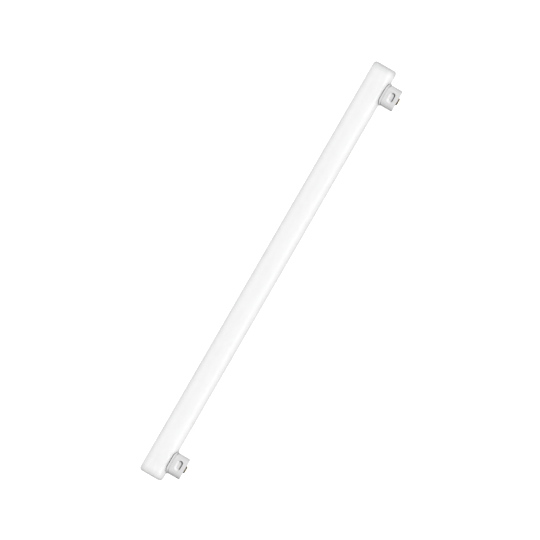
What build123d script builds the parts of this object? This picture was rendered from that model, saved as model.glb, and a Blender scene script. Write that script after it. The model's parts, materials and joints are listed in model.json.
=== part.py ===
from build123d import *
import os
from math import asin, atan2, cos, hypot, sin

# Double-capped tubular lamp, in millimetres.
# A sealed opal glass tube carries two moulded caps on one side, each in a bed of adhesive.
# A brass contact button is riveted through the end of each cap.
# The lamp lies as it comes to rest: on a line of the glass and on the lower end edge of both caps.
# +X runs along the tube, the caps point to -Y and dip to the table, and +Z is up.
# The origin is the middle of the footprint.

# Glass tube
tube_diameter = 27.0
tube_end_round = 3.5
cap_spacing = 450.0       # between the middles of the two caps
right_overhang = 26.5     # from the middle of a cap to the end of the glass
left_overhang = 23.5

# Cap: the peg that enters the holder
peg_length = 24.3         # along the tube
peg_width = 14.0          # across the tube
peg_end_flat = 2.0        # straight part of each narrow end
peg_height = 15.25        # from the glass to the end face
peg_edge_bevel = 0.5
broad_wall = 2.8
narrow_wall = 2.2
end_wall = 3.0

# Cap: the saddle flange that spreads the bond on the glass
flange_lip_end = 0.85     # beyond the peg, along the tube
flange_lip_side = 1.8     # beyond the peg, round the tube
flange_end_flat = 3.8
flange_thickness = 0.75
flange_bevel = 0.4

# Adhesive bed between the glass and the cap
bed_thickness = 0.6
bed_inset = 0.15          # inside the edge of the flange
bed_clearance = 0.02      # to the glass and to the cap

# Cap: the retention recess on each broad face, with two steep walls that catch and two that slope
recess_length = 11.7      # at its mouth, along the tube
recess_width = 6.7        # at its mouth, along the peg
recess_round = 3.0
recess_depth = 2.1
catch_run = 0.4           # how far a steep wall leans over the depth
slope_run = 2.2           # how far a sloping wall leans over the depth
recess_from_end = 7.75    # from the end face to the middle of the mouth
recess_offset = 0.25      # from the middle of the peg, towards the right end of the tube

# Contact: a button head, a shank through the end wall and a clinched tail
contact_diameter = 8.0
contact_rise = 1.4
contact_bevel = 0.6
shank_diameter = 3.2
shank_clearance = 0.1
tail_diameter = 4.8
tail_thickness = 0.8

# Lead wire: from the glass into a bore in the tail of the contact
lead_diameter = 0.8
lead_clearance = 0.1
lead_insertion = 2.4

# Sizes that follow
tube_radius = tube_diameter / 2
tube_length = right_overhang + cap_spacing + left_overhang
peg_reach = tube_radius + peg_height
saddle_radius = tube_radius + bed_thickness
peg_corner = (peg_width - peg_end_flat) / 2
flange_length = peg_length + 2 * flange_lip_end
flange_width = peg_width + 2 * flange_lip_side
flange_corner = (flange_width - flange_end_flat) / 2
flange_radius = saddle_radius + flange_thickness
bed_length = flange_length - 2 * bed_inset
bed_width = flange_width - 2 * bed_inset
bed_corner = flange_corner - bed_inset
floor_length = recess_length - catch_run - slope_run
floor_width = recess_width - catch_run - slope_run
floor_round = recess_round - (catch_run + slope_run) / 2
floor_shift = (slope_run - catch_run) / 2
cavity_length = peg_length - 2 * narrow_wall
cavity_width = peg_width - 2 * broad_wall
cavity_corner = min(peg_corner - narrow_wall, (cavity_width - peg_end_flat) / 2)
cavity_reach = peg_reach - end_wall
contact_reach = peg_reach + contact_rise
tail_reach = cavity_reach - tail_thickness
bore_radius = lead_diameter / 2 + lead_clearance
bore_reach = tail_reach + lead_insertion

# Rest: the caps dip until the bevelled lower edge of their end meets the table.
edge_reach = peg_reach - peg_edge_bevel
edge_width = peg_width / 2
dip = asin(tube_radius / hypot(edge_reach, edge_width)) - atan2(edge_width, edge_reach)
peg_direction = Vector(0, -cos(dip), -sin(dip))
broad_direction = Vector(0, -sin(dip), cos(dip))

# The footprint is centred in Y, and the upper rim of a contact's face is the furthest point from the glass.
rim_reach = contact_reach * cos(dip) + (contact_diameter / 2 - contact_bevel) * sin(dip)
axis_y = (rim_reach - tube_radius) / 2
axis_z = tube_radius

cap_places = {
    "right": tube_length / 2 - right_overhang,
    "left": left_overhang - tube_length / 2,
}

os.makedirs("parts", exist_ok=True)

# Glass tube, closed and rounded at both ends
tube_start = Plane(origin=(-tube_length / 2, axis_y, axis_z), x_dir=(0, 1, 0), z_dir=(1, 0, 0))
with BuildPart() as glass_tube:
    with BuildSketch(tube_start):
        Circle(tube_radius)
    extrude(amount=tube_length)
    fillet(glass_tube.edges().filter_by(GeomType.CIRCLE), tube_end_round)
glass_tube.part.label = "glass_tube"
export_step(glass_tube.part, "parts/glass_tube.step")

for side, cap_x in cap_places.items():
    cap_origin = Vector(cap_x, axis_y, axis_z)
    outward = Axis(cap_origin, peg_direction)
    plan = Plane(cap_origin, x_dir=(1, 0, 0), z_dir=peg_direction)
    across = Plane(cap_origin, x_dir=broad_direction, z_dir=(1, 0, 0))
    profile = Plane(cap_origin, x_dir=(1, 0, 0), z_dir=-broad_direction)

    # Adhesive bed: a skin of even thickness on the glass, open under the cavity of the cap
    with BuildPart() as bed:
        with BuildSketch(plan):
            RectangleRounded(bed_length, bed_width, bed_corner)
            RectangleRounded(cavity_length, cavity_width, cavity_corner, mode=Mode.SUBTRACT)
        extrude(amount=saddle_radius)
        with BuildSketch(across):
            Circle(saddle_radius - bed_clearance)
        extrude(amount=flange_length, both=True, mode=Mode.INTERSECT)
        with BuildSketch(across):
            Circle(tube_radius + bed_clearance)
        extrude(amount=flange_length, both=True, mode=Mode.SUBTRACT)
    bed.part.label = f"{side}_adhesive_bed"
    export_step(bed.part, f"parts/{side}_adhesive_bed.step")

    # Cap
    with BuildPart() as cap:
        # Flange: its outline, cut to a skin that follows the glass
        with BuildSketch(plan):
            RectangleRounded(flange_length, flange_width, flange_corner)
        extrude(amount=flange_radius)
        with BuildSketch(across):
            Circle(flange_radius)
        extrude(amount=flange_length, both=True, mode=Mode.INTERSECT)
        flange_skin = cap.faces().sort_by(outward)[-1]
        chamfer(flange_skin.edges(), flange_bevel)

        # Peg, with a bevelled end edge
        with BuildSketch(plan):
            RectangleRounded(peg_length, peg_width, peg_corner)
        extrude(amount=peg_reach)
        chamfer(cap.faces().sort_by(outward)[-1].edges(), peg_edge_bevel)

        # Saddle that sits on the adhesive bed, and the cavity that opens to it
        with BuildSketch(across):
            Circle(saddle_radius)
        extrude(amount=flange_length, both=True, mode=Mode.SUBTRACT)
        with BuildSketch(plan):
            RectangleRounded(cavity_length, cavity_width, cavity_corner)
        extrude(amount=cavity_reach, mode=Mode.SUBTRACT)

        # Retention recesses: steep walls towards the end face and the right end, sloping walls opposite
        mouth_reach = peg_reach - recess_from_end
        mouth_middle = cap_origin + Vector(recess_offset, 0, 0) + peg_direction * mouth_reach
        floor_middle = mouth_middle + (Vector(1, 0, 0) + peg_direction) * floor_shift
        for facing in (broad_direction, -broad_direction):
            with BuildSketch(Plane(mouth_middle + facing * (peg_width / 2), x_dir=(1, 0, 0), z_dir=facing)):
                RectangleRounded(recess_length, recess_width, recess_round)
            floor_middle_on_side = floor_middle + facing * (peg_width / 2 - recess_depth)
            with BuildSketch(Plane(floor_middle_on_side, x_dir=(1, 0, 0), z_dir=facing)):
                RectangleRounded(floor_length, floor_width, floor_round)
            loft(mode=Mode.SUBTRACT)

        # Hole for the contact
        with BuildSketch(plan.offset(cavity_reach)):
            Circle(shank_diameter / 2 + shank_clearance)
        extrude(amount=end_wall, mode=Mode.SUBTRACT)
    cap.part.label = f"{side}_cap"
    export_step(cap.part, f"parts/{side}_cap.step")

    # Contact, turned about the axis of the peg
    with BuildPart() as contact:
        with BuildSketch(profile):
            with BuildLine():
                Polyline(
                    (0, bore_reach),
                    (bore_radius, bore_reach),
                    (bore_radius, tail_reach),
                    (tail_diameter / 2, tail_reach),
                    (tail_diameter / 2, cavity_reach),
                    (shank_diameter / 2, cavity_reach),
                    (shank_diameter / 2, peg_reach),
                    (contact_diameter / 2, peg_reach),
                    (contact_diameter / 2, contact_reach),
                    (0, contact_reach),
                    close=True,
                )
            make_face()
        revolve(axis=outward)
        chamfer(contact.faces().sort_by(outward)[-1].edges(), contact_bevel)
    contact.part.label = f"{side}_contact"
    export_step(contact.part, f"parts/{side}_contact.step")

    # Lead wire
    with BuildPart() as lead:
        with BuildSketch(plan.offset(tube_radius)):
            Circle(lead_diameter / 2)
        extrude(amount=bore_reach - tube_radius)
    lead.part.label = f"{side}_lead"
    export_step(lead.part, f"parts/{side}_lead.step")
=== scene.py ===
# %% [markdown]
# # A tubular lamp, dressed on its CAD frame
# The lamp is a straight opal glass tube with two moulded caps on one side. Each cap ends in a brass
# button. The CAD model already holds every piece at its real size and place. This lesson gives each
# piece a finished mesh and a finish, sets up a floor and soft light, and looks down on the lamp as the
# photograph does.

# %% Load the frame
import json
from math import cos, pi, radians, sin, sqrt

import bmesh
import bpy
from mathutils import Matrix, Vector


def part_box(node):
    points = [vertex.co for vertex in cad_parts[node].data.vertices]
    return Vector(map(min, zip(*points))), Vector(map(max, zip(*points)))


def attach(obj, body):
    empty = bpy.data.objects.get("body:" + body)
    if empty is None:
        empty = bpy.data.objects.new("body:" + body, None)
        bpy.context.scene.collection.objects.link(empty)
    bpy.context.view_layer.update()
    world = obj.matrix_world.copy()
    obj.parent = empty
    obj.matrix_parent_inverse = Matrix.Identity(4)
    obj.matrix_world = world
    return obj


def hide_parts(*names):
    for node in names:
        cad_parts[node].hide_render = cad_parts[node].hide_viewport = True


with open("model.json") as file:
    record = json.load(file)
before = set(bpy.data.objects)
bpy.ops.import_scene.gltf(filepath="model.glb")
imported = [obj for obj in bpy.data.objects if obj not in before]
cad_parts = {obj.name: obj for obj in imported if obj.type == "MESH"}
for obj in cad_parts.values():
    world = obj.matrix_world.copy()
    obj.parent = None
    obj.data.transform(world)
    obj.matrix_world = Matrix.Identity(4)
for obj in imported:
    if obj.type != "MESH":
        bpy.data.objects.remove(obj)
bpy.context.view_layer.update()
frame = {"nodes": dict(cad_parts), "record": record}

print("CAD nodes:", sorted(frame["nodes"]))

# %% [markdown]
# ## Directions and places
# The lamp lies on a line of its glass and on one edge of both caps, so the caps point outwards and a
# little down. Typing that tilt again would let the looks drift away from the CAD model. The directions
# are read from the record's mounts instead, and the size of the tube from its box. Each cap gets a
# local frame: x runs along the tube, y leaves the broad face that looks up, and z leaves the tube along
# the peg.

# %% Read directions and places
MM = 0.001
SIDES = ("right", "left")
mounts = {mount["name"]: mount for mount in frame["record"]["mounts"]}
along = Vector((1, 0, 0))
outward = Vector(mounts["right_peg"]["axis"]).normalized()
facing = outward.cross(along)

glass_low, glass_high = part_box("glass_tube")
tube_radius = (glass_high.y - glass_low.y) / 2
tube_half = (glass_high.x - glass_low.x) / 2
tube_middle = (glass_low + glass_high) / 2

peg_ends = {side: Vector(mounts[side + "_peg"]["pos_m"]) for side in SIDES}
peg_reach = (peg_ends["right"] - tube_middle).dot(outward)
contact_reach = (Vector(mounts["right_contact_face"]["pos_m"]) - tube_middle).dot(outward)
local_axes = Matrix((along, facing, outward)).transposed().to_4x4()
cap_places = {side: Matrix.Translation(peg_ends[side] - outward * peg_reach) @ local_axes for side in SIDES}
print("tube radius and half length in mm:", round(tube_radius / MM, 3), round(tube_half / MM, 3))
print("peg and contact reach in mm:", round(peg_reach / MM, 3), round(contact_reach / MM, 3))

# %% [markdown]
# ## Shader arithmetic
# A finish is mostly small sums: a cloud of noise, times a strength, plus a base. Placing one Math node
# for each step by hand hides the sum. This small class wraps an output socket, so that a sum is written
# as a sum and adds its own Math nodes. Its one other method adds any node that isn't arithmetic.

# %% Shader arithmetic
MIX_FACTOR, MIX_LOW, MIX_HIGH, MIX_COLOUR = 0, 6, 7, 2


class Signal:
    """An output socket of a shader node, with arithmetic that adds Math nodes."""

    def __init__(self, tree, output=None):
        self.tree = tree
        self.output = output

    def node(self, kind, settings, inputs, output=0):
        made = self.tree.nodes.new(kind)
        for name, value in settings.items():
            setattr(made, name, value)
        for name, value in inputs.items():
            if isinstance(value, Signal):
                self.tree.links.new(value.output, made.inputs[name])
            else:
                made.inputs[name].default_value = value
        return Signal(self.tree, made.outputs[output])

    def math(self, operation, first, second=0.0):
        return self.node("ShaderNodeMath", {"operation": operation}, {0: first, 1: second})

    def __add__(self, other):
        return self.math("ADD", self, other)

    def __sub__(self, other):
        return self.math("SUBTRACT", self, other)

    def __rsub__(self, other):
        return self.math("SUBTRACT", other, self)

    def __mul__(self, other):
        return self.math("MULTIPLY", self, other)

    def __abs__(self):
        return self.math("ABSOLUTE", self)

    __radd__ = __add__
    __rmul__ = __mul__


print("shader arithmetic ready")

# %% [markdown]
# Every finish starts the same way: a Principled surface, the piece's Object coordinates, and noise of a
# named grain size. Object coordinates are in metres here, because each piece sits at the origin with
# its place in its mesh, so a grain of 0.4 mm is a noise scale of 2500. Fine relief comes from one Bump
# node, with its height in metres too.

# %% Start a finish
def start_finish(name, metallic=0.0):
    material = bpy.data.materials.new(name)
    material.use_nodes = True
    tree = material.node_tree
    surface = tree.nodes["Principled BSDF"]
    surface.inputs["Metallic"].default_value = metallic
    point = Signal(tree).node("ShaderNodeTexCoord", {}, {}, "Object")
    return material, surface, point


def noise(point, grain, detail=2.0, stretch=None):
    if stretch:
        point = point.node("ShaderNodeMapping", {}, {"Vector": point, "Scale": stretch})
    return point.node("ShaderNodeTexNoise", {}, {"Vector": point, "Scale": 1 / grain, "Detail": detail})


def mix_colours(factor, low, high):
    low, high = (end if isinstance(end, Signal) else (*end, 1.0) for end in (low, high))
    settings = {"data_type": "RGBA", "clamp_factor": True}
    inputs = {MIX_FACTOR: factor, MIX_LOW: low, MIX_HIGH: high}
    return factor.node("ShaderNodeMix", settings, inputs, MIX_COLOUR)


def bump(height, strength, distance):
    inputs = {"Strength": strength, "Distance": distance, "Height": height}
    return height.node("ShaderNodeBump", {}, inputs)


def connect(surface, **signals):
    for name, signal in signals.items():
        signal.tree.links.new(signal.output, surface.inputs[name.replace("_", " ")])


print("finish helpers ready")

# %% [markdown]
# ## Opal glass
# The tube is glass with a white coating inside, so light that enters on one side comes out all round,
# and the tube looks like soft white china. It could be true glass around a white core, but that is slow
# and noisy and can't be baked. A white surface with wide subsurface scattering spreads the light in the
# same way. The last few millimetres at both ends are a little grey, so the colour fades to grey towards
# them. A faint cloud in the coating and long ripples from drawing the glass keep it from looking like
# plastic.

# %% Opal glass
OPAL_WHITE = (0.92, 0.92, 0.92)
END_GREY = (0.71, 0.71, 0.71)
GREY_STARTS = 8.0 * MM
OPAL_SPREAD = 12 * MM
OPAL_GLOSS = 0.4
OPAL_ROUGHNESS = 0.42
CLOUD_GRAIN = 22 * MM
CLOUD_STRENGTH = 0.06
CLOUD_ROUGHNESS = 0.1
RIPPLE_GRAIN = 3 * MM
RIPPLE_STRETCH = (0.04, 1, 1)
RIPPLE_HEIGHT = 0.02 * MM
RIPPLE_STRENGTH = 0.3


def opal_glass():
    material, surface, point = start_finish("opal_glass")
    surface.inputs["Subsurface Weight"].default_value = 1.0
    surface.inputs["Subsurface Radius"].default_value = (1, 1, 1)
    surface.inputs["Subsurface Scale"].default_value = OPAL_SPREAD
    surface.inputs["Specular IOR Level"].default_value = OPAL_GLOSS
    x = point.node("ShaderNodeSeparateXYZ", {}, {"Vector": point}, "X")
    from_end = tube_half - abs(x)
    # The colour fades to grey towards both ends of the tube.
    grey_range = {"Value": from_end, "From Min": 0.0, "From Max": GREY_STARTS}
    end_fade = point.node("ShaderNodeMapRange", {}, grey_range)
    cloud = noise(point, CLOUD_GRAIN, detail=3.0)
    colour = mix_colours(end_fade - CLOUD_STRENGTH * cloud, END_GREY, OPAL_WHITE)
    ripple = noise(point, RIPPLE_GRAIN, detail=1.0, stretch=RIPPLE_STRETCH)
    normal = bump(ripple, RIPPLE_STRENGTH, RIPPLE_HEIGHT)
    roughness = OPAL_ROUGHNESS + CLOUD_ROUGHNESS * cloud
    connect(surface, Base_Color=colour, Roughness=roughness, Normal=normal)
    return material


glass_finish = opal_glass()
print("finish:", glass_finish.name)

# %% [markdown]
# ## Cap plastic
# The caps are moulded from a pale grey, heat-proof plastic. Its colour is even, but the steel mould
# leaves a fine matt grain, and the filler in the plastic leaves faint flow marks. A bump of fine noise
# gives the grain, and a wider noise moves the roughness and the tone a little. Hollows and creases get
# painted shade, darker than soft light alone makes them: the Ambient Occlusion node finds them,
# whatever their shape is, and the colour is darkened there. The two slopes of the recess get a painted
# highlight: they are made paler, and smoother as well. Where they are is known when the mesh is made,
# so the mesh carries that as an attribute.

# %% Cap plastic
PLASTIC = (0.7, 0.7, 0.7)
# Painted shade: the dark colour that hollows and creases are darkened towards.
PAINTED_SHADE_GREY = (0.06, 0.06, 0.06)
# Painted highlight: the paler colour that the two slopes of the recess are mixed towards.
PAINTED_HIGHLIGHT_PALE = (0.82, 0.82, 0.82)
PAINTED_HIGHLIGHT_SLOPES = "painted_highlight_slopes"
PLASTIC_ROUGHNESS = 0.44
SLOPE_SMOOTHNESS = 0.12
FLOW_MARK = 0.12
FLOW_SHARE, GRAIN_SHARE = 0.8, 0.2
FLOW_ROUGHNESS = 0.14
HOLLOW_REACH = 2.0 * MM
HOLLOW_SHUT, HOLLOW_OPEN = 0.63, 0.92
FLOW_GRAIN = 6 * MM
MOULD_GRAIN = 0.35 * MM
MOULD_HEIGHT = 0.012 * MM
MOULD_STRENGTH = 0.35


def cap_plastic():
    material, surface, point = start_finish("cap_plastic")
    flow = noise(point, FLOW_GRAIN, detail=4.0)
    grain = noise(point, MOULD_GRAIN)
    # Painted shade: Ambient Occlusion finds hollows and creases, and the colour is darkened there.
    sky = point.node("ShaderNodeAmbientOcclusion", {"only_local": True}, {"Distance": HOLLOW_REACH}, "AO")
    openness = {"Value": sky, "From Min": HOLLOW_SHUT, "From Max": HOLLOW_OPEN}
    exposed = point.node("ShaderNodeMapRange", {}, openness)
    marks = FLOW_MARK * (FLOW_SHARE * flow + GRAIN_SHARE * grain)
    moulded = mix_colours(exposed - marks, PAINTED_SHADE_GREY, PLASTIC)
    # Painted highlight: the two slopes of the recess are made paler, and smoother.
    painted_highlight_slopes = point.node("ShaderNodeAttribute", {"attribute_name": PAINTED_HIGHLIGHT_SLOPES}, {}, "Fac")
    colour = mix_colours(painted_highlight_slopes, moulded, PAINTED_HIGHLIGHT_PALE)
    normal = bump(grain, MOULD_STRENGTH, MOULD_HEIGHT)
    roughness = PLASTIC_ROUGHNESS + FLOW_ROUGHNESS * flow - SLOPE_SMOOTHNESS * painted_highlight_slopes
    connect(surface, Base_Color=colour, Roughness=roughness, Normal=normal)
    return material


plastic_finish = cap_plastic()
print("finish:", plastic_finish.name)

# %% [markdown]
# ## Adhesive
# The cap is bedded in silicone, and the bed's dark grey is painted shade: its edge draws the thin dark
# shadow line round the foot of each flange. Silicone would be slightly glossy where it was wiped, so
# noise moves its roughness and leaves it faintly uneven.

# %% Adhesive
# Painted shade: the bed's dark grey draws the shadow line round the foot of each flange.
BED_SHADE_DARK = (0.075, 0.075, 0.075)
BED_SHADE_LIGHT = (0.12, 0.12, 0.12)
SILICONE_ROUGHNESS = 0.4
WIPE_GRAIN = 1.5 * MM
WIPE_ROUGHNESS = 0.3
WIPE_HEIGHT = 0.03 * MM
WIPE_STRENGTH = 0.4


def bed_silicone_painted_shade():
    material, surface, point = start_finish("bed_silicone_painted_shade")
    wipe = noise(point, WIPE_GRAIN, detail=3.0)
    colour = mix_colours(wipe, BED_SHADE_DARK, BED_SHADE_LIGHT)
    normal = bump(wipe, WIPE_STRENGTH, WIPE_HEIGHT)
    roughness = SILICONE_ROUGHNESS + WIPE_ROUGHNESS * wipe
    connect(surface, Base_Color=colour, Roughness=roughness, Normal=normal)
    return material


bed_shade_finish = bed_silicone_painted_shade()
print("finish:", bed_shade_finish.name)

# %% [markdown]
# ## Contact brass
# The contacts are turned on a lathe, so fine rings run round the axis of the peg. The rings need the
# distance from that axis. A Mapping node takes the coordinates into the cap's local frame, where that
# distance is simply the length of x and y, so each side has its own copy of the finish. The
# photograph's brass is dull, so noise mixes in a darker, browner and rougher tone.

# %% Contact brass
BRASS = (0.34, 0.225, 0.01)
TARNISH = (0.11, 0.065, 0.003)
BRASS_EDGE = (0.9, 0.7, 0.3, 1.0)
TURNING_PITCH = 0.12 * MM
TURNING_HEIGHT = 0.004 * MM
TURNING_STRENGTH = 0.5
BRASS_ROUGHNESS = 0.2
TARNISH_GRAIN = 1.6 * MM
TARNISH_ROUGHNESS = 0.3


def contact_brass(side):
    material, surface, point = start_finish("contact_brass_" + side, metallic=1.0)
    surface.inputs["Specular Tint"].default_value = BRASS_EDGE
    place = cap_places[side]
    centre = {"Vector": point, "Location": place.translation, "Rotation": place.to_euler()}
    local = point.node("ShaderNodeMapping", {"vector_type": "TEXTURE"}, centre)
    flat = point.node("ShaderNodeVectorMath", {"operation": "MULTIPLY"}, {0: local, 1: (1, 1, 0)})
    radius = point.node("ShaderNodeVectorMath", {"operation": "LENGTH"}, {0: flat}, "Value")
    rings = point.math("SINE", radius * (2 * pi / TURNING_PITCH))
    tarnish = noise(point, TARNISH_GRAIN, detail=4.0)
    colour = mix_colours(tarnish, BRASS, TARNISH)
    normal = bump(rings, TURNING_STRENGTH, TURNING_HEIGHT)
    roughness = BRASS_ROUGHNESS + TARNISH_ROUGHNESS * tarnish
    connect(surface, Base_Color=colour, Roughness=roughness, Normal=normal)
    return material


brass_finishes = {side: contact_brass(side) for side in SIDES}
print("finishes:", [finish.name for finish in brass_finishes.values()])

# %% [markdown]
# ## Lead metal
# The leads are tinned copper wire, hidden inside the caps. Drawing the wire leaves scratches along it,
# so the noise is stretched along the peg.

# %% Lead metal
TIN = (0.62, 0.61, 0.58)
DULL_TIN = (0.45, 0.44, 0.42)
TIN_ROUGHNESS = 0.28
SCRATCH_GRAIN = 0.15 * MM
SCRATCH_STRETCH = (1, 0.08, 1)
SCRATCH_ROUGHNESS = 0.2
SCRATCH_HEIGHT = 0.006 * MM
SCRATCH_STRENGTH = 0.4


def lead_metal():
    material, surface, point = start_finish("lead_metal", metallic=1.0)
    scratch = noise(point, SCRATCH_GRAIN, stretch=SCRATCH_STRETCH)
    colour = mix_colours(scratch, TIN, DULL_TIN)
    normal = bump(scratch, SCRATCH_STRENGTH, SCRATCH_HEIGHT)
    roughness = TIN_ROUGHNESS + SCRATCH_ROUGHNESS * scratch
    connect(surface, Base_Color=colour, Roughness=roughness, Normal=normal)
    return material


lead_finish = lead_metal()
print("finish:", lead_finish.name)

# %% [markdown]
# ## Finishing a piece
# A piece is shaped in a bmesh and then becomes an object. Doubles are merged first, because spin and
# bridge leave some, and only then are the normals turned outwards. Rounded edges all use the same
# bevel. Smooth shading with sharp edges by angle keeps the flats flat, and the Weighted Normal modifier
# lets the large faces rule over the small ones of a rounded edge.

# %% Finish a piece
MERGE_DISTANCE = 0.001 * MM
SHARP_ANGLE = radians(40)
ROUND_PROFILE = 0.5


def round_off(bm, geom, offset, segments, affect="EDGES"):
    return bmesh.ops.bevel(
        bm, geom=geom, offset=offset, segments=segments, profile=ROUND_PROFILE, affect=affect, material=-1
    )["verts"]


def finish_piece(bm, node, finish, place=None):
    if place:
        bmesh.ops.transform(bm, matrix=place, verts=bm.verts)
    bmesh.ops.remove_doubles(bm, verts=bm.verts, dist=MERGE_DISTANCE)
    bmesh.ops.recalc_face_normals(bm, faces=bm.faces)
    open_edges = sum(not edge.is_manifold for edge in bm.edges)
    mesh = bpy.data.meshes.new(node + "_finished")
    bm.to_mesh(mesh)
    bm.free()
    mesh.shade_smooth()
    mesh.set_sharp_from_angle(angle=SHARP_ANGLE)
    mesh.materials.append(finish)
    piece = bpy.data.objects.new(node + "_finished", mesh)
    bpy.context.scene.collection.objects.link(piece)
    piece.modifiers.new("flats first", "WEIGHTED_NORMAL").keep_sharp = True
    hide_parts(node)
    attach(piece, "root")
    print(piece.name, "faces:", len(mesh.polygons), "open edges:", open_edges)
    return piece


print("piece helpers ready")

# %% [markdown]
# ## Glass tube
# The tube is one blown piece with flat ends and a soft rim. A spun profile would give the same shape,
# but a cylinder with bevelled rims is shorter to write, and its rim radius stays one number. Each flat
# end gets an inset ring, so that the shading of the rim doesn't bleed into the flat.

# %% Glass tube
TUBE_SEGMENTS = 160
RIM_RADIUS = 3.5 * MM
RIM_SEGMENTS = 12
END_RING = 0.5 * MM


def end_faces(bm):
    return [face for face in bm.faces if len(face.verts) > 4]


def glass_tube():
    bm = bmesh.new()
    bmesh.ops.create_cone(
        bm,
        cap_ends=True,
        segments=TUBE_SEGMENTS,
        radius1=tube_radius,
        radius2=tube_radius,
        depth=2 * tube_half,
    )
    rims = [edge for face in end_faces(bm) for edge in face.edges]
    round_off(bm, rims, RIM_RADIUS, RIM_SEGMENTS)
    bmesh.ops.inset_individual(bm, faces=end_faces(bm), thickness=END_RING, use_even_offset=True)
    place = Matrix.Translation(tube_middle) @ Matrix.Rotation(pi / 2, 4, "Y")
    return finish_piece(bm, "glass_tube", glass_finish, place)


glass_piece = glass_tube()

# %% [markdown]
# ## Cap outlines
# Every level of a cap is a rounded rectangle: the flange, the peg, its end and its cavity. So one
# helper makes such an outline, as a square whose corners are bevelled, and the cap becomes a stack of
# outlines with a skin bridged between them. An outline lies either flat at a height, or on a cylinder
# round the tube's axis, which is what makes the flange a saddle. Where a skin follows the cylinder for
# a while, outlines between its two edges keep it round.

# %% Cap outlines
CORNER_STEPS = 10
SADDLE_STEPS = 5


def outline(bm, length, width, corner):
    square = bmesh.ops.create_grid(bm, x_segments=1, y_segments=1, size=0.5)["verts"]
    bmesh.ops.scale(bm, vec=(length, width, 1), verts=square)
    corners = round_off(bm, square, corner, CORNER_STEPS, affect="VERTICES")
    face = corners[0].link_faces[0]
    edges = face.edges[:]
    bmesh.ops.delete(bm, geom=[face], context="FACES_ONLY")
    return corners, edges


def flat_outline(bm, size, height):
    verts, edges = outline(bm, *size)
    bmesh.ops.translate(bm, vec=(0, 0, height), verts=verts)
    return edges


def saddle_outline(bm, size, radius):
    verts, edges = outline(bm, *size)
    for vert in verts:
        vert.co.z = sqrt(radius**2 - vert.co.y**2)
    return edges


def shrunk(size, step):
    length, width, corner = size
    return length - 2 * step, width - 2 * step, corner - step


def between(first, last, share):
    return [start + (end - start) * share for start, end in zip(first, last)]


def bridge(bm, rings):
    for lower, upper in zip(rings, rings[1:]):
        bmesh.ops.bridge_loops(bm, edges=lower + upper)


def saddle_skin(bm, first, last, radius):
    shares = [step / SADDLE_STEPS for step in range(SADDLE_STEPS + 1)]
    rings = [saddle_outline(bm, between(first, last, share), radius) for share in shares]
    bridge(bm, rings)
    return rings[0], rings[-1]


print("outline helpers ready, corner steps:", CORNER_STEPS)

# %% [markdown]
# ## Cap skin
# From the glass outwards a cap has a saddle that sits on the adhesive, a thin flange with a rounded
# rim, a crease, the peg and its soft end edge. A quarter turn gives the levels of each rounded edge, so
# its radius is a single value.

# %% Cap skin
PEG = (24.3 * MM, 14.0 * MM, 6.0 * MM)
FLANGE = (26.0 * MM, 17.6 * MM, 6.9 * MM)
CAVITY = (19.9 * MM, 8.4 * MM, 3.2 * MM)
BED_THICKNESS = 0.6 * MM
FLANGE_THICKNESS = 0.75 * MM
SADDLE_RADIUS = tube_radius + BED_THICKNESS
FLANGE_RADIUS = SADDLE_RADIUS + FLANGE_THICKNESS
RIM_ROUND = 0.4 * MM
CREASE_ROUND = 0.2 * MM
PEG_EDGE_ROUND = 0.8 * MM
ROUND_STEPS = 5


def quarter_turn(radius):
    turns = [pi / 2 * step / ROUND_STEPS for step in range(ROUND_STEPS + 1)]
    return [(radius * (1 - cos(turn)), radius * sin(turn)) for turn in turns]


def cap_skin(bm):
    cavity_mouth, flange_foot = saddle_skin(bm, CAVITY, FLANGE, SADDLE_RADIUS)
    rings = [flange_foot]
    for step, rise in quarter_turn(RIM_ROUND):
        rings.append(saddle_outline(bm, shrunk(FLANGE, step), FLANGE_RADIUS - RIM_ROUND + rise))
    rings.append(saddle_outline(bm, shrunk(PEG, -CREASE_ROUND), FLANGE_RADIUS))
    rings.append(saddle_outline(bm, PEG, FLANGE_RADIUS + CREASE_ROUND))
    for step, rise in quarter_turn(PEG_EDGE_ROUND):
        rings.append(flat_outline(bm, shrunk(PEG, step), peg_reach - PEG_EDGE_ROUND + rise))
    bridge(bm, rings)
    return cavity_mouth, rings[-1]


print("rounded edge levels:", ROUND_STEPS + 1)

# %% [markdown]
# ## Retention recess
# Each broad face has a shallow recess that a spring in the holder snaps into. Two of its walls are
# steep, to catch the spring, and two slope, to let it ride out. So its floor is a smaller outline than
# its mouth and is shifted towards the steep walls, and every level between them is a share of the way
# from one to the other. The broad face is taken out and filled again around the mouth. Near the mouth
# and the floor the levels follow a soft curve, because a moulded edge is never sharp.

# %% Retention recess
RECESS_MOUTH = (11.7 * MM, 6.7 * MM, 3.0 * MM)
RECESS_FLOOR = (9.1 * MM, 4.1 * MM, 1.7 * MM)
RECESS_OFFSET = 0.25 * MM
RECESS_FROM_END = 7.75 * MM
MOUTH_MIDDLE = (RECESS_OFFSET, peg_reach - RECESS_FROM_END)
FLOOR_SHIFT = 0.9 * MM
RECESS_DEPTH = 2.1 * MM
MOUTH_SPREAD = 0.03
EDGE_EASE = 0.12
EASE_STEPS = 4
SLOPE_BORDER = 0.5


def eased(start, corner, end):
    """Points on a soft curve from start to end that keeps to the corner between them."""
    shares = [step / EASE_STEPS for step in range(EASE_STEPS + 1)]
    return [between(between(start, corner, share), between(corner, end, share), share) for share in shares]


def recess_levels():
    """Pairs of how far the outline has gone from the mouth to the floor, and how deep it lies."""
    mouth = eased((-MOUTH_SPREAD, 0.0), (0.0, 0.0), (EDGE_EASE, EDGE_EASE))
    floor = eased((1 - EDGE_EASE, 1 - EDGE_EASE), (1.0, 1.0), (1 + EDGE_EASE, 1.0))
    return mouth + floor


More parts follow.
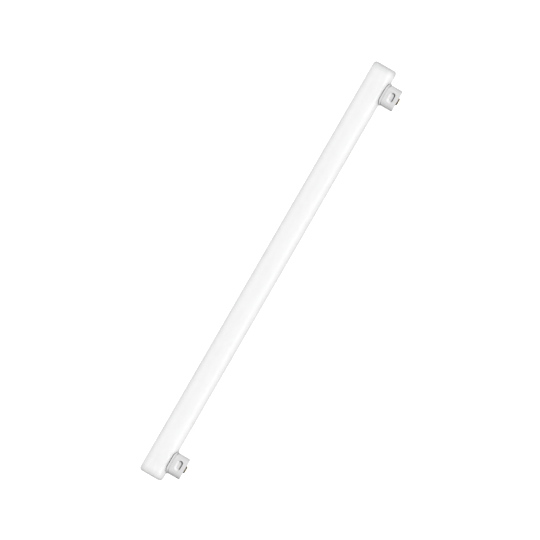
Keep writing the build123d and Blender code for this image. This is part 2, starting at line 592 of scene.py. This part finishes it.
# The share on the slopes is the mask of the painted highlight in the cap plastic.
def mark_slopes(bm, verts, size):
    """Notes on each point of a level how much of it lies on the two slopes."""
    layer = bm.verts.layers.float[PAINTED_HIGHLIGHT_SLOPES]
    for vert in verts:
        towards_steep = 2 * vert.co.x / size[0] + 2 * vert.co.y / size[1]
        vert[layer] = min(max(SLOPE_BORDER - towards_steep, 0.0), 1.0)


def cut_recess(bm, broad_face):
    side = 1 if broad_face.calc_center_median().y > 0 else -1
    border = broad_face.edges[:]
    bmesh.ops.delete(bm, geom=[broad_face], context="FACES_ONLY")
    middle_x, middle_reach = MOUTH_MIDDLE
    rings = []
    for share, depth in recess_levels():
        size = between(RECESS_MOUTH, RECESS_FLOOR, share)
        verts, edges = outline(bm, *size)
        if 0 < share < 1:
            mark_slopes(bm, verts, size)
        shift = FLOOR_SHIFT * share
        spot = (middle_x + shift, side * (PEG[1] / 2 - depth * RECESS_DEPTH), middle_reach + shift)
        place = Matrix.Translation(spot) @ Matrix.Rotation(pi / 2, 4, "X")
        bmesh.ops.transform(bm, matrix=place, verts=verts)
        rings.append(edges)
    bmesh.ops.triangle_fill(bm, edges=border + rings[0], use_beauty=True)
    bridge(bm, rings)
    bmesh.ops.contextual_create(bm, geom=rings[-1])


print("recess levels:", len(recess_levels()))

# %% [markdown]
# ## Whole cap
# Inside, a cavity leaves an even wall, and a hole in the end wall takes the shank of the contact. None
# of that shows on a whole lamp, but it makes the cap a true shell with an inside and an outside. Both
# caps are the same moulding, so one function makes them and only the place differs.

# %% Whole cap
END_WALL = 3.0 * MM
CAVITY_REACH = peg_reach - END_WALL
SHANK_RADIUS = 1.6 * MM
SHANK_CLEARANCE = 0.1 * MM
HOLE_SEGMENTS = 32


def hole_outline(bm, height):
    radius = SHANK_RADIUS + SHANK_CLEARANCE
    verts = bmesh.ops.create_circle(bm, segments=HOLE_SEGMENTS, radius=radius)["verts"]
    bmesh.ops.translate(bm, vec=(0, 0, height), verts=verts)
    return list({edge for vert in verts for edge in vert.link_edges})


def cap(side):
    bm = bmesh.new()
    # This layer carries the mask of the painted highlight on the recess slopes.
    bm.verts.layers.float.new(PAINTED_HIGHLIGHT_SLOPES)
    cavity_mouth, end = cap_skin(bm)
    broad_faces = sorted(bm.faces, key=lambda face: face.calc_area())[-2:]
    for broad_face in broad_faces:
        cut_recess(bm, broad_face)
    outer_hole = hole_outline(bm, peg_reach)
    inner_hole = hole_outline(bm, CAVITY_REACH)
    cavity_end = flat_outline(bm, CAVITY, CAVITY_REACH)
    bmesh.ops.triangle_fill(bm, edges=end + outer_hole, use_beauty=True)
    bmesh.ops.triangle_fill(bm, edges=cavity_end + inner_hole, use_beauty=True)
    bridge(bm, [outer_hole, inner_hole])
    bridge(bm, [cavity_end, cavity_mouth])
    return finish_piece(bm, side + "_cap", plastic_finish, cap_places[side])


cap_pieces = [cap(side) for side in SIDES]

# %% [markdown]
# ## Adhesive bed
# The bed is a skin of silicone between the saddle and the glass, open under the cavity. Its two faces
# are saddle skins a hair apart from the glass and the cap. Its outer edge swells a little, as a bead
# does when the cap is pressed down.

# %% Adhesive bed
BED = (25.7 * MM, 17.3 * MM, 6.75 * MM)
BED_CLEARANCE = 0.02 * MM
BED_SWELL = 0.1 * MM


def adhesive_bed(side):
    bm = bmesh.new()
    lower = tube_radius + BED_CLEARANCE
    upper = SADDLE_RADIUS - BED_CLEARANCE
    lower_inside, lower_rim = saddle_skin(bm, CAVITY, BED, lower)
    upper_inside, upper_rim = saddle_skin(bm, CAVITY, BED, upper)
    bead = saddle_outline(bm, shrunk(BED, -BED_SWELL), (lower + upper) / 2)
    bridge(bm, [lower_rim, bead, upper_rim])
    bridge(bm, [lower_inside, upper_inside])
    # The bed takes the dark finish that paints the shadow line at the flange foot.
    return finish_piece(bm, side + "_adhesive_bed", bed_shade_finish, cap_places[side])


bed_pieces = [adhesive_bed(side) for side in SIDES]

# %% [markdown]
# ## Contact
# A contact is turned from bar: a button with a bevelled rim, a shank through the end wall and a
# clinched tail with a bore for the lead. A turned piece is a profile spun about its axis, so its
# profile is written once and a full spin closes it. The rim gets a small bevel afterwards, because no
# turned edge is truly sharp.

# %% Contact
CONTACT_RADIUS = 4.0 * MM
CONTACT_BEVEL = 0.6 * MM
TAIL_RADIUS = 2.4 * MM
TAIL_THICKNESS = 0.8 * MM
TAIL_REACH = CAVITY_REACH - TAIL_THICKNESS
BORE_RADIUS = 0.5 * MM
BORE_DEPTH = 2.4 * MM
BORE_REACH = TAIL_REACH + BORE_DEPTH
CONTACT_SEGMENTS = 72
CONTACT_EDGE = 0.12 * MM
CONTACT_EDGE_STEPS = 3

contact_profile = [
    (0, BORE_REACH),
    (BORE_RADIUS, BORE_REACH),
    (BORE_RADIUS, TAIL_REACH),
    (TAIL_RADIUS, TAIL_REACH),
    (TAIL_RADIUS, CAVITY_REACH),
    (SHANK_RADIUS, CAVITY_REACH),
    (SHANK_RADIUS, peg_reach),
    (CONTACT_RADIUS, peg_reach),
    (CONTACT_RADIUS, contact_reach - CONTACT_BEVEL),
    (CONTACT_RADIUS - CONTACT_BEVEL, contact_reach),
    (0, contact_reach),
]


def is_rim(edge):
    """Whether an edge lies on a ring of the button: level, beyond the end of the peg and off the axis."""
    start, end = (vert.co for vert in edge.verts)
    level = abs(start.z - end.z) < MERGE_DISTANCE
    beyond_peg = min(start.z, end.z) > peg_reach + MERGE_DISTANCE
    off_axis = min(start.xy.length, end.xy.length) > MERGE_DISTANCE
    return level and beyond_peg and off_axis


def contact(side):
    bm = bmesh.new()
    verts = [bm.verts.new((radius, 0, height)) for radius, height in contact_profile]
    edges = [bm.edges.new(pair) for pair in zip(verts, verts[1:])]
    bmesh.ops.spin(
        bm,
        geom=verts + edges,
        axis=(0, 0, 1),
        cent=(0, 0, 0),
        angle=2 * pi,
        steps=CONTACT_SEGMENTS,
        use_merge=True,
    )
    bmesh.ops.remove_doubles(bm, verts=bm.verts, dist=MERGE_DISTANCE)
    rims = [edge for edge in bm.edges if is_rim(edge)]
    round_off(bm, rims, CONTACT_EDGE, CONTACT_EDGE_STEPS)
    return finish_piece(bm, side + "_contact", brass_finishes[side], cap_places[side])


contact_pieces = [contact(side) for side in SIDES]

# %% [markdown]
# ## Leads
# The leads have the right shape already, so the CAD pieces stay and only take their finish.

# %% Leads
for side in SIDES:
    lead = frame["nodes"][side + "_lead"]
    lead.data.materials.clear()
    lead.data.materials.append(lead_finish)
    print(lead.name, "takes", lead_finish.name)

# %% [markdown]
# ## Floor
# The photograph has a plain white ground. A floor lit to pure white would also throw that light back up
# at the lamp and wash out the soft grey edges of the tube. A studio keeps the two apart with dark
# boards beside the product. Here the Light Path node does it: the camera sees a white floor, the lamp
# is lit by a darker one.

# %% Floor
FLOOR_SIZE = 6.0
FLOOR_DROP = 0.1 * MM
FLOOR_SEEN = 0.8
FLOOR_ROUGHNESS = 0.9
FLOOR_GLOW = 0.9
FLOOR_BOUNCE = 0.16


def floor_finish():
    material = bpy.data.materials.new("studio_floor")
    material.use_nodes = True
    tree = material.node_tree
    seen = tree.nodes["Principled BSDF"]
    seen.inputs["Base Color"].default_value = (FLOOR_SEEN, FLOOR_SEEN, FLOOR_SEEN, 1)
    seen.inputs["Roughness"].default_value = FLOOR_ROUGHNESS
    seen.inputs["Emission Color"].default_value = (1, 1, 1, 1)
    seen.inputs["Emission Strength"].default_value = FLOOR_GLOW
    start = Signal(tree)
    camera_ray = start.node("ShaderNodeLightPath", {}, {}, "Is Camera Ray")
    bounce_grey = (FLOOR_BOUNCE, FLOOR_BOUNCE, FLOOR_BOUNCE, 1)
    bounce = start.node("ShaderNodeBsdfDiffuse", {}, {"Color": bounce_grey})
    shaders = {0: camera_ray, 1: bounce, 2: Signal(tree, seen.outputs[0])}
    mixed = start.node("ShaderNodeMixShader", {}, shaders)
    tree.links.new(mixed.output, tree.nodes["Material Output"].inputs["Surface"])
    return material


def floor():
    bm = bmesh.new()
    bmesh.ops.create_grid(bm, x_segments=1, y_segments=1, size=FLOOR_SIZE / 2)
    bmesh.ops.translate(bm, vec=(0, 0, -FLOOR_DROP), verts=bm.verts)
    mesh = bpy.data.meshes.new("floor")
    bm.to_mesh(mesh)
    bm.free()
    mesh.materials.append(floor_finish())
    plane = bpy.data.objects.new("floor", mesh)
    bpy.context.scene.collection.objects.link(plane)


floor()
print("floor size in m:", FLOOR_SIZE)

# %% [markdown]
# ## Light
# The photograph has the same soft light at both ends of the tube. A soft box close by would make one
# end brighter than the other, so each box is a Sun light some degrees wide, which is a soft box very
# far away. In a studio, dark cards keep one light off a white tube while it picks out the small forms
# beside it. Light linking is the card here: two strips light the tube from its sides, and a key light
# models the caps. The rest is even light from all round.

# %% Light
AMBIENT = 0.65
BACKDROP = 1.0
cap_group = [*cap_pieces, *bed_pieces, *contact_pieces]
SOFT_BOXES = {
    "tube_right_strip": {"tilt": 71, "turn": 0, "width": 10, "strength": 1.56, "lit": [glass_piece]},
    "tube_left_strip": {"tilt": -56, "turn": 0, "width": 40, "strength": 1.05, "lit": [glass_piece]},
    "cap_key": {"tilt": 38, "turn": 30, "width": 8, "strength": 1.8, "lit": cap_group},
}


def soft_box(name, tilt, turn, width, strength, lit):
    """A far light, tilted in degrees from the camera's axis towards the caps and turned to the right end."""
    sideways = outward * cos(radians(turn)) + along * sin(radians(turn))
    direction = facing * cos(radians(tilt)) + sideways * sin(radians(tilt))
    light = bpy.data.lights.new(name, "SUN")
    light.angle = radians(width)
    light.energy = strength
    box = bpy.data.objects.new(name, light)
    box.location = tube_middle + direction
    box.rotation_euler = direction.to_track_quat("Z", "Y").to_euler()
    box.light_linking.receiver_collection = bpy.data.collections.new(name + "_lit")
    for piece in lit:
        box.light_linking.receiver_collection.objects.link(piece)
    bpy.context.scene.collection.objects.link(box)
    print(name, "lights", [piece.name for piece in lit])


for name, settings in SOFT_BOXES.items():
    soft_box(name, **settings)

world = bpy.data.worlds.new("studio")
world.use_nodes = True
bpy.context.scene.world = world
ambient = Signal(world.node_tree)
seen_directly = ambient.node("ShaderNodeLightPath", {}, {}, "Is Camera Ray")
connect(world.node_tree.nodes["Background"], Strength=AMBIENT + (BACKDROP - AMBIENT) * seen_directly)
world.node_tree.nodes["Background"].inputs["Color"].default_value = (1, 1, 1, 1)
bpy.context.scene.view_settings.view_transform = "Standard"
print("ambient strength:", AMBIENT)

# %% [markdown]
# ## Camera
# The photograph shows no perspective, and looks straight at the broad faces of the caps. So the camera
# is orthographic and looks along them. In the picture the tube climbs at 60 degrees, and its middle
# lies a little left of and below the middle of the frame. The image is taken as 540 pixels wide.

# %% Camera
IMAGE_PIXELS = 540
PIXEL = 1.0594 * MM
CLIMB = radians(60)
SHIFT_RIGHT = 1.86 * PIXEL
SHIFT_UP = 0.86 * PIXEL
CAMERA_DISTANCE = 1.5

image_right = along * cos(CLIMB) + outward * sin(CLIMB)
image_up = along * sin(CLIMB) - outward * cos(CLIMB)
aim = tube_middle + image_right * SHIFT_RIGHT + image_up * SHIFT_UP

camera_data = bpy.data.cameras.new("camera")
camera_data.type = "ORTHO"
camera_data.ortho_scale = IMAGE_PIXELS * PIXEL
camera = bpy.data.objects.new("camera", camera_data)
turn = Matrix((image_right, image_up, facing)).transposed().to_4x4()
camera.matrix_world = Matrix.Translation(aim + facing * CAMERA_DISTANCE) @ turn
bpy.context.scene.collection.objects.link(camera)
bpy.context.scene.camera = camera
print("frame width in m:", round(camera_data.ortho_scale, 4))
